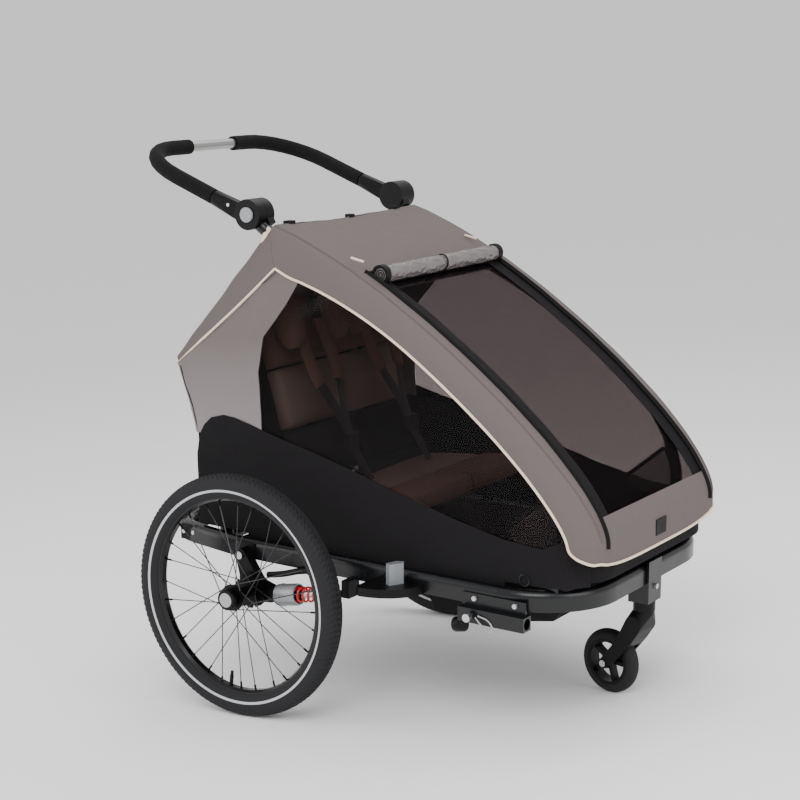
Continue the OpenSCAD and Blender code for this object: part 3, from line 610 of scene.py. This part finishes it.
def side_cloth(name, outline, inset, thick, material, swell, seed, body, keep, sign, tuck=0):
    """A side panel cut to an outline; tuck draws its front corner in."""
    points, faces = flat_sheet(outline)
    points = np.asarray(points, float)
    x, z = points[:, 0], points[:, 2]
    points[:, 1] = -side_y(x) + inset + swell * noise(x, z, 150, seed) * np.clip((z - 350) / 30, 0, 1)
    points[:, 1] += tuck * np.clip((x - 684) / 40, 0, 1)
    points, faces = thicken(points, faces, thick)
    if sign > 0:
        points = mirrored(points)
    return build(name, points, faces, material, body, keep=keep)


SIDES = ((-1, "right"), (1, "left"))
for sign, word in SIDES:
    film = side_cloth("window_film_" + word, WINDOW, 3.0, 0.8, TINT, 0.9, 1.0 + sign, "canopy_hoop",
                      ["side_window_" + word], sign)
    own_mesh(film)
    # The quarter cloth's lighter lower part is painted light.
    panel = side_cloth("quarter_cloth_" + word, QUARTER, 2.0, 1.6, QUARTER_PAINTED_SHADING, 2.0, 4.0 + sign, "canopy_hoop",
                       ["quarter_panel_" + word], sign)
    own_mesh(panel)


# ---------- lower cloth ----------
# Black coated skirts are fixed round the floor frame; the body hangs inside them.
SKIRT = [(-184, 350), (-186, 500), (-178, 543), (-166, 564), (-147, 581), (-115, 590), (-86, 588),
         (-14, 570), (47, 555), (119, 540), (188, 522), (300, 491), (450, 453), (560, 430),
         (640, 424), (672, 440), (690, 427), (706, 413), (714, 398), (716, 352), (561, 349), (558, 335),
         (-51, 335), (-54, 349)]
for sign, word in SIDES:
    skirt = side_cloth("skirt_cloth_" + word, SKIRT, 0.0, 1.8, BLACK_CLOTH, 1.2, 6.0 + sign, "chassis",
                       ["side_skirt_" + word], sign, tuck=10)
    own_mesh(skirt)

grid = np.zeros((34, 60, 3))
for i, z in enumerate(np.linspace(350, 682, 34)):
    x = np.interp(z, [350, 500, 545, 598, 660, 700], [-182, -186, -189, -203, -228, -238])
    y = np.linspace(-286, 286, 60)
    bow = 4 * (1 - (y / 286) ** 2) + 1.5 * noise(y, np.full(60, z), 160, 2.0)
    grid[i, :, 0] = x - bow + 7 * np.clip((abs(y) - 274) / 12, 0, 1) ** 2
    grid[i, :, 1] = y
    grid[i, :, 2] = z
back_cloth = build("rear_skirt_cloth", *shell(grid, -1.8), BLACK_CLOTH, "chassis", keep=["rear_skirt"])
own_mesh(back_cloth)

for name in ("front_skirt", "floor_panel", "footwell_bag"):
    paint(name, BLACK_CLOTH)


# ---------- inside: seats, pads and harness ----------
# Two padded seats in brown, grey-brown and black patchwork, each with rolled side
# bolsters by the head and a five-point harness with shoulder pads.
CELL, SWELL_CAP, SWELL_FRAMES = 9.0, 0.009, 20


def leant(p, turn, about):
    """A point turned by some degrees about a line across the trailer."""
    a = math.radians(turn)
    p = p - about
    return np.array([p[0] * math.cos(a) + p[2] * math.sin(a), p[1],
                     -p[0] * math.sin(a) + p[2] * math.cos(a)]) + about


def pillow(name, low, high, material, turn, about):
    """A padded cushion: a box of cloth blown up by the Cloth solver."""
    low, high = np.array(low, float), np.array(high, float)
    work = bmesh.new()
    bmesh.ops.create_cube(work, size=1)
    size = high - low
    for v in work.verts:
        v.co = Vector((low + size * (np.array(v.co) + 0.5)) / 1000)
    for k in range(3):
        n = max(2, int(size[k] / CELL))
        axis = [0.0, 0.0, 0.0]
        axis[k] = 1.0
        for c in range(1, n):
            at = [0.0, 0.0, 0.0]
            at[k] = (low[k] + size[k] * c / n) / 1000
            bmesh.ops.bisect_plane(work, geom=work.verts[:] + work.edges[:] + work.faces[:],
                                   plane_co=at, plane_no=axis)
    mesh = bpy.data.meshes.new(name)
    work.to_mesh(mesh)
    work.free()
    rest = np.array([v.co[:] for v in mesh.vertices])
    obj = bpy.data.objects.new(name, mesh)
    bpy.context.collection.objects.link(obj)
    cloth = obj.modifiers.new("Cloth", "CLOTH")
    cloth.settings.quality = 5
    cloth.settings.mass = 0.2
    cloth.settings.tension_stiffness = 20
    cloth.settings.compression_stiffness = 20
    cloth.settings.shear_stiffness = 8
    cloth.settings.bending_stiffness = 0.4
    cloth.settings.use_pressure = True
    cloth.settings.uniform_pressure_force = 4
    cloth.settings.effector_weights.gravity = 0
    cloth.point_cache.frame_start = 1
    cloth.point_cache.frame_end = SWELL_FRAMES
    scene = bpy.context.scene
    for f in range(1, SWELL_FRAMES + 1):
        scene.frame_set(f)
    held = obj.evaluated_get(bpy.context.evaluated_depsgraph_get())
    moved = np.array([v.co[:] for v in held.data.vertices])
    scene.frame_set(1)
    step = moved - rest
    far = np.linalg.norm(step, axis=1)
    step *= np.minimum(1, SWELL_CAP / np.maximum(far, 1e-9))[:, None]
    rest = rest + step
    obj.modifiers.clear()
    for v, co in zip(mesh.vertices, rest * 1000):
        v.co = row([leant(co, turn, about)])[0]
    mesh.materials.append(material)
    mesh.shade_smooth()
    sub = obj.modifiers.new("Smooth", "SUBSURF")
    sub.levels = sub.render_levels = 1
    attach(obj, "chassis")
    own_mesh(obj)
    return obj


cushions, pads = [], []
SEAT, BACK = np.array([60.0, 0, 395]), np.array([40.0, 0.0, 425.0])
SEAT_LEAN, BACK_LEAN = -7, -17
for side, word in SIDES:
    y0, y1 = (-216, -8) if side < 0 else (8, 216)
    for low, high, mat, part in (((62, y0, 398), (205, y1, 432), MINK, "seat"),
                                 ((212, y0, 400), (322, y1, 434), BROWN, "knee")):
        cushions.append(pillow(part + "_pad_" + word, low, high, mat, SEAT_LEAN, SEAT))
    for z0, z1, mat, part in ((455, 560, BLACK_PAD, "low"), (566, 690, MINK, "mid"),
                              (696, 850, BROWN, "top")):
        pads.append(pillow("back_%s_%s" % (part, word), (14, y0 + 4, z0), (44, y1 - 4, z1), mat,
                           BACK_LEAN, BACK))
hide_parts("seat_cushion")
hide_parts("backrests")


def at_back(points):
    """Points given along the backrest, from its foot, as level-frame points."""
    p = np.asarray(points, float)
    a = math.radians(BACK_LEAN)
    return np.c_[40 + p[:, 0] * math.cos(a) + p[:, 2] * math.sin(a), p[:, 1],
                 425 - p[:, 0] * math.sin(a) + p[:, 2] * math.cos(a)]


rolls = []
for side in (-1, 1):
    for y in (-188, -34):
        line = at_back([(46, side * y, z) for z in np.linspace(300, 420, 9)])
        rolls.append(tube(line, [14, 26, 30, 31, 31, 31, 30, 26, 14], 24))
bolsters = build("head_bolsters", *merged(*rolls), BROWN, "chassis", keep=["headrests"])
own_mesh(bolsters)

straps, shoulder = [], []
for side in (-1, 1):
    for y in (150, 72):
        mid_y = 111 + (y - 111) * 0.25
        line = curve(at_back([(36, side * y, 400), (40, side * y, 330), (52, side * y, 240),
                              (64, side * mid_y, 150), (74, side * 111, 90)]), 40)
        straps.append(tube(line, 1.2, 8, flat=10, ref=(1, 0, 0.0)))
        shoulder.append(tube(line[6:24], 6.5, 12, flat=3.0, ref=(1, 0, 0.0)))
    hip = curve([(86, side * 111, 520), (120, side * 111, 470), (140, side * 111, 440)], 12)
    straps.append(tube(hip, 1.2, 8, flat=10, ref=(1, 0, 0.0)))
    straps.append(brick((78, side * 111 - 17, 508), (92, side * 111 + 17, 545)))
harness = build("harness_straps", *merged(*straps), WEB, "chassis", keep=["harnesses"])
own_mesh(harness)
cover = build("shoulder_pads", *merged(*shoulder), BROWN, "chassis")
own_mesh(cover)


# ---------- main wheels ----------
# 20 inch wheels: block tread, a light stripe on each sidewall, black rim, and
# crossing spokes from two flanges. The hub pulls off with a button in its cap.
def tyre_shape(middle):
    """A closed tyre section turned round, its crown stepped into tread blocks."""
    steps, half = 1040, []
    for r, y, tread in ((203, 13, 0), (206, 16, 0), (212, 19.5, 0), (216.5, 21.3, 0), (221.5, 22.4, 0),
                        (228, 23, 0), (235, 22.3, 0), (240, 20.4, 1), (243.6, 18, 1), (246.0, 14, 1),
                        (247.3, 9.5, 1), (247.4, 8.3, 0), (248, 7.2, 1), (248.5, 3.6, 1)):
        half.append((r, y, tread))
    section = half + [(248.5, 0, 1)] + [(r, -y, t) for r, y, t in reversed(half)]
    points, faces, m = [], [], len(section)
    for i in range(steps):
        a = 2 * math.pi * i / steps
        for r, y, tread in section:
            if tread:
                phase = (i + abs(y) * 0.45 + (4 if abs(y) > 8 else 0)) % 8
                r = r + (1.4 if phase < 5.6 else -0.7)
            points.append((middle[0] + r * math.cos(a), middle[1] + y, middle[2] + r * math.sin(a)))
        j = (i + 1) % steps
        faces.extend([[i * m + k, i * m + k + 1, j * m + k + 1, j * m + k] for k in range(m - 1)])
        faces.append([i * m + m - 1, i * m, j * m, j * m + m - 1])
    return points, faces


SPOKES = 28
for sign, word in SIDES:
    body = "wheel_" + word
    middle = np.array([0, sign * 390, 250.0])
    points, faces = tyre_shape(middle)
    tyre = build("tread_" + word, points, faces, TYRE, body, keep=["tyre_" + word])
    tyre.data.materials.append(STRIPE)
    centre = row([middle])[0]
    for p in tyre.data.polygons:
        c = np.array(p.center) - centre
        if 0.2165 < math.hypot(c[0], c[2]) < 0.2213 and abs(c[1]) > 0.02:
            p.material_index = 1
    wires, heads = [], []
    for k in range(SPOKES):
        flange = 20 * (1 if k % 2 else -1)
        a = 2 * math.pi * k / SPOKES
        lean = math.radians(70) * (1 if (k // 2) % 2 else -1)
        hub = (25 * math.cos(a + lean), flange, 25 * math.sin(a + lean))
        rim = (196 * math.cos(a), flange * 0.2, 196 * math.sin(a))
        wires.append(tube(middle + np.array([hub, rim]), 1.1, 6))
        u = (np.array(rim) - hub) / np.linalg.norm(np.array(rim) - hub)
        heads.append(tube(middle + np.array([np.array(rim) - 11 * u, np.array(rim) + 2 * u]), 2.1, 8))
    valve = -math.pi / 2 - 0.12
    out = np.array([math.cos(valve), 0, math.sin(valve)])
    heads.append(tube([middle + 196 * out, middle + 176 * out, middle + 172 * out, middle + 166 * out],
                      [4, 4, 3.2, 3.2], 12))
    spokes = build("spoke_wires_" + word, *merged(*wires), SPOKE, body, keep=["spokes_" + word])
    nipples = build("nipples_valve_" + word, *merged(*heads), NYLON, body)
    cap_shape = [(0.01, 38.5), (14.6, 38.5), (15, 40), (14.6, 42.4), (12, 42.9), (0.01, 42.9)]
    cap = build("hub_cap_" + word, *turned([(r, h * sign) for r, h in cap_shape], middle, steps=64),
                CAP, body)
    ring_shape = [(15.4, 30), (20.5, 30), (21.5, 32), (21.5, 39), (19.8, 41.4), (15.4, 41.6)]
    collar = build("hub_ring_" + word, *merged(
        turned([(r, h * sign) for r, h in ring_shape], middle),
        *[tube([middle + np.array([20.4 * math.cos(a), 32.5 * sign, 20.4 * math.sin(a)]),
                middle + np.array([20.4 * math.cos(a), 39 * sign, 20.4 * math.sin(a)])], 1.0, 6)
          for a in np.linspace(0, 2 * math.pi, 24, endpoint=False)]), NYLON, body)
    for node, mat in (("rim_", RIM), ("hub_", NYLON), ("brake_disc_", NYLON)):
        paint(node + word, mat)


# ---------- suspension ----------
# A moulded housing on a trailing arm carries each hub; a grey cup on it and a block
# under the rail hold a red coil spring, with a black stop arm above.
TURNS, TURN_STEPS, COIL_RADIUS = 11, 28, 14.3
for sign, word in SIDES:
    body = "suspension_" + word
    ribs = [turned([(6, -10), (32, -10), (33, 8), (6, 8)], (0, sign * 336, 250), steps=72)]
    for a in np.linspace(0, 2 * math.pi, 18, endpoint=False):
        ribs.append(tube([(31 * math.cos(a), sign * 328, 250 + 31 * math.sin(a)),
                          (34 * math.cos(a), sign * 344, 250 + 34 * math.sin(a))], 3.0, 6))
    housing = build("arm_housing_" + word, *merged(*ribs), NYLON, body, bevel=0.8)
    axis = np.array([0.982, 0, 0.19])
    start = np.array([60, sign * 332, 246.0])
    cup = build("spring_cup_" + word, *merged(
        turned([(18.6, 0), (22, 0), (22.4, 1.5), (22.4, 46), (21.4, 51), (18.8, 51)], start, axis, 64),
        turned([(22.3, 8), (23.4, 9), (23.4, 12), (22.3, 13)], start, axis, 64)), CUP, body)
    middle = start + [0, 2 * sign, 0]
    line = []
    u, v = np.array([-0.19, 0, 0.982]), np.array([0, 1, 0])
    for i in range(TURNS * TURN_STEPS + 1):
        a = 2 * math.pi * i / TURN_STEPS
        along = 8 + 146 * i / (TURNS * TURN_STEPS)
        line.append(middle + axis * along + COIL_RADIUS * (math.cos(a) * u + math.sin(a) * v))
    spring = build("coil_" + word, *tube(line, 2.2, 8), SPRING, body, keep=["spring_" + word])
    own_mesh(spring)
    stay = build("stay_" + word, *merged(
        tube(curve([(32, sign * 334, 284), (70, sign * 332, 292), (104, sign * 328, 302),
                    (136, sign * 326, 308)], 20), 5.5, 10, flat=1.2),
        disc(9, -6.5, 6.5, (136, sign * 327, 309))), NYLON, body)
    paint("swing_arm_" + word, NYLON)


# ---------- floor frame ----------
# Black powder-coated tube, with clamped corners at the rear, anchor rings, wheel
# guards with clear reflectors, and the brake bar behind.
def rounded(node, width, material):
    """Gives a CAD node its finish and takes the sharpness off its edges."""
    edge = paint(node, material).modifiers.new("Edges", "BEVEL")
    edge.width = width / 1000
    edge.segments = 2
    edge.limit_method = "ANGLE"
    edge.angle_limit = math.radians(40)
    edge.use_clamp_overlap = True


for node in ("side_rails", "front_rail", "rear_rail", "cross_tubes", "canopy_frame", "back_frame",
             "caster_bracket"):
    rounded(node, 1.2, FRAME)
for material, nodes in ((FRAME, ["tow_receiver"]),
                        (NYLON, ["suspension_brackets", "brake_pedal", "wheel_guards", "caster_hub",
                                 "caster_fork", "hinge_bases", "hinge_caps", "bar_connectors"]),
                        (STEEL, ["frame_bolts", "damper_rods", "retaining_pin", "caster_axle"]),
                        (BUTTON, ["hinge_button_left", "hinge_button_right"]),
                        (CLEAR, ["reflectors"])):
    for node in nodes:
        rounded(node, 0.7, material)
for node, material in (("d_rings", FRAME), ("caster_tyre", TYRE), ("push_bar", SILVER), ("grips", FOAM)):
    paint(node, material)

clamp, clamp_screw = [], []
for sign in (-1, 1):
    clamp.append(brick((-236, sign * 284 - 5, 308), (-190, sign * 284 + 5, 343)))
    clamp_screw += [disc(4.5, 0, 3 * sign, (x, sign * 289, 326)) for x in (-226, -200)]
clamps = build("corner_clamps", *merged(*clamp), NYLON, "chassis", smooth=False, bevel=1.5)
bolts = build("clamp_screws", *merged(*clamp_screw), STEEL, "chassis")

# A sprung clip, a rubber cap on its strap and two screw heads sit on the tow socket.
parts = [disc(4.6, -4, 0, (x, -324.5, z)) for x, z in ((517, 318), (605, 318))]
heads = build("socket_screws", *merged(*parts), STEEL, "chassis")
cap = build("socket_cap", *merged(
    turned([(0.01, -12), (13, -12), (14.5, -9), (14.5, 9), (13, 12), (0.01, 12)],
           (486, -326, 262), (1, 0, 0.2), 48),
    tube(curve([(486, -326, 274), (500, -330, 284), (520, -336, 286), (528, -340, 282)], 16),
         1.6, 8, flat=2.2)),
    NYLON, "chassis")
wire_line = curve([(530, -344, 288), (545, -346, 276), (561, -345, 266), (566, -342, 274),
                   (556, -342, 286), (536, -344, 292)], 40)
wire = build("pin_clip", *tube(wire_line, 1.5, 8), STEEL, "tow_pin")


# ---------- canopy details ----------
# The clear rain cover is rolled up on the roof, held by an elastic loop; its ends
# are bound in black. Straps with snaps hold the cloth by the push bar hinges.
ROLL_X, ROLL_Z, ROLL_HALF = 231, 899, 219
spans = 200
grid, m = [], 72
for i in range(spans):
    y = -ROLL_HALF + 2 * ROLL_HALF * i / (spans - 1)
    pinch = 2.6 * math.exp(-((y - 4) / 9) ** 2)
    slack = 1.4 * min(1, (ROLL_HALF - abs(y)) / 20 + 0.1)
    for k in range(m):
        a = 2 * math.pi * k / m
        r = 16.2 + slack * float(noise(np.array(a * 46 + y * 0.12), np.array(y), 61, 1.2)) - pinch
        grid.append((ROLL_X + r * math.cos(a), y, ROLL_Z + r * math.sin(a)))
faces = [[i * m + k, (i + 1) * m + k, (i + 1) * m + (k + 1) % m, i * m + (k + 1) % m]
         for i in range(spans - 1) for k in range(m)]
faces += [list(range(m)), [(spans - 1) * m + k for k in reversed(range(m))]]
roll = build("rolled_film", grid, faces, FILM, "canopy_hoop", keep=["rain_cover_roll"])
rings = []
for s in (-1, 1):
    rings.append(turned([(14.6, 0), (18.6, 0), (18.8, s * -14), (16.4, s * -14)],
                        (ROLL_X, s * 221, ROLL_Z)))
    spiral = []
    for k in range(66):
        r, a = 14.5 - 0.19 * k, k * 0.26
        spiral.append((ROLL_X + r * math.cos(a), s * (220.5 - 0.01 * k), ROLL_Z + r * math.sin(a)))
    rings.append(tube(spiral, 1.0, 6))
rings.append(tube([(ROLL_X + 15.8 * math.cos(a), 4 + 2 * math.sin(a), ROLL_Z + 16.5 * math.sin(a))
                   for a in np.linspace(0, 2 * math.pi, 40, endpoint=False)], 1.6, 8, closed=True))
ends = build("roll_bindings", *merged(*rings), ZIP, "canopy_hoop")

loops = []
snaps = []
for s in (-1, 1):
    loop_line = curve([(-6, s * 262, 980), (-16, s * 268, 962), (-18, s * 268, 940), (-4, s * 274, 930)], 24)
    loops.append(tube(loop_line, 1.2, 8, flat=5, ref=(0, 1, 0)))
    snaps.append(disc(6, 0, s * 4, (-6, s * 274, 928)))
    snaps.append(brick((-20, s * 190 - 11, 978), (-4, s * 190 + 11, 988)))
snaps.append(brick((-24, 20, 972), (-10, 38, 983)))
loop = build("strap_loops", *merged(*loops), PIPING, "canopy_hoop")
snap = build("snaps_buckles", *merged(*snaps), ZIP, "canopy_hoop", smooth=False, bevel=1.2)

# Short tube ends join the hoop to the hinges, which have a ring round each button.
stubs = []
for s in (-1, 1):
    stubs.append(tube([(-42, s * 256, 990), (-24, s * 254, 975), (4, s * 252, 960)], [15, 14, 12.5], 20))
stub = build("hoop_stubs", *merged(*stubs), FRAME, "canopy_hoop")
rim_rings, screws = [], []
HINGE_X, HINGE_Z, NECK = -49, 1005, math.radians(20.6)
for s in (-1, 1):
    rim_rings.append(turned([(16.5, 0), (19, 0), (19, s * 1.6), (16.5, s * 1.6)],
                            (HINGE_X, s * 272.2, HINGE_Z), steps=72))
    at = np.array([HINGE_X - 58 * math.cos(NECK), s * 271, HINGE_Z + 58 * math.sin(NECK) - 4])
    screws.append(disc(3.4, 0, s * 3, at))
ring = build("button_rings", *merged(*rim_rings), NYLON, "handlebar")
screw = build("connector_screws", *merged(*screws), STEEL, "handlebar")

# A net pocket hangs in each front corner, bound in black along its open edge.
POCKET = [(540, 440), (556, 452), (626, 512), (650, 470), (664, 432), (640, 402), (556, 420)]
net, hems = [], []
for s in (-1, 1):
    points, faces = flat_sheet(POCKET, 14)
    points = np.array(points) + [0, s * 250, 0]
    net.append(thicken(points, faces, 0.6))
    for edge, flat in (([(540, 440), (580, 473), (627, 513)], 3.2),
                       ([(627, 513), (650, 470), (664, 432)], 2.4)):
        hems.append(tube([(x, s * 250, z) for x, z in edge], 1.4, 8, flat=flat, ref=(0, 1, 0)))
pocket = build("side_pockets", *merged(*net), NET, "canopy_hoop", smooth=False)
hem = build("pocket_bindings", *merged(*hems), ZIP, "canopy_hoop")


# ---------- stage, light and camera ----------
# A pale studio floor under four soft lamps; the camera stands at the near front.
ground = bpy.data.meshes.new("floor")
ground.from_pydata([(-30, -30, 0), (30, -30, 0), (30, 30, 0), (-30, 30, 0)], [], [(0, 1, 2, 3)])
floor = bpy.data.objects.new("floor", ground)
bpy.context.collection.objects.link(floor)
ground.materials.append(surface("Pale studio floor", "ffffff", 0.9, vary=0.005))
world = bpy.data.worlds.new("Studio")
bpy.context.scene.world = world
world.use_nodes = True
world.node_tree.nodes["Background"].inputs["Color"].default_value = (1, 1, 1, 1)
world.node_tree.nodes["Background"].inputs["Strength"].default_value = 0.9


def lamp(name, at, aim, size, power):
    light = bpy.data.lights.new(name, "AREA")
    light.shape = "SQUARE"
    light.size = size
    light.energy = power
    obj = bpy.data.objects.new(name, light)
    obj.location = at
    obj.rotation_euler = (Vector(aim) - Vector(at)).to_track_quat("-Z", "Y").to_euler()
    bpy.context.collection.objects.link(obj)


lamp("Key", (1.6, -3.2, 3.4), (0, 0, 0.5), 2.4, 110)
lamp("Fill", (-3.0, -2.4, 1.8), (0, 0, 0.5), 2.8, 45)
lamp("Front", (3.4, -0.6, 1.6), (0, 0, 0.4), 2.0, 40)
lamp("Top", (0, 1.2, 3.6), (0, 0, 0.5), 2.6, 45)

AZ, EL = math.radians(33.78), math.radians(11.56)
EYE = (2226, -3132, 1371)
ahead = row_dir(-math.sin(AZ) * math.cos(EL), math.cos(AZ) * math.cos(EL), -math.sin(EL))
right = row_dir(math.cos(AZ), math.sin(AZ), 0)
above = right.cross(ahead)
lens = bpy.data.cameras.new("Camera")
lens.lens = 81.9
lens.sensor_width = 36
camera = bpy.data.objects.new("Camera", lens)
bpy.context.collection.objects.link(camera)
turned_to = Matrix((right, above, -ahead)).transposed().to_4x4()
camera.matrix_world = Matrix.Translation(row([EYE])[0]) @ turned_to
bpy.context.scene.camera = camera
